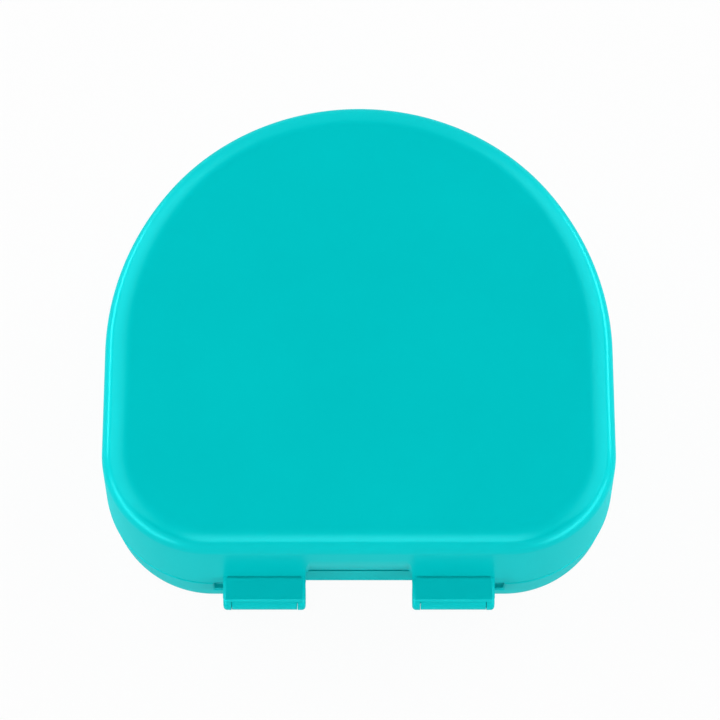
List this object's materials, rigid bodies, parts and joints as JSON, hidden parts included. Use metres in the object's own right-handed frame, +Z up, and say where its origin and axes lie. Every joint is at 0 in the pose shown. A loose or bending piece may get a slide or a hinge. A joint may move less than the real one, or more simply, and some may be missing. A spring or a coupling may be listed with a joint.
{
  "type": "orthodontic retainer case",
  "caption": "D-shaped hinged case of glossy teal plastic for a dental retainer, with a crowned lid that snaps onto a bowl-shaped base and turns on short hinge pins.",
  "frame": {"origin": "on the resting face, in the middle of the width, where the front arch starts", "axes": "+Z up through the closed lid, +Y towards the round front with the snap, -Y towards the flat hinge wall, +X across the case"},
  "size_m": [0.08, 0.0838, 0.03],
  "materials": {
    "teal_polypropylene": "glossy moulded"
  },
  "bodies": {
    "base": {"base_shell": "teal_polypropylene"},
    "lid": {"lid_shell": "teal_polypropylene", "hinge_pin_left": "teal_polypropylene", "hinge_pin_right": "teal_polypropylene"}
  },
  "joints": [
    {"name": "lid_hinge", "type": "hinge", "parent": "base", "child": "lid", "pos_m": [0, -0.0367, 0.015], "axis": [1, 0, 0], "range_deg": [0, 180]}
  ]
}
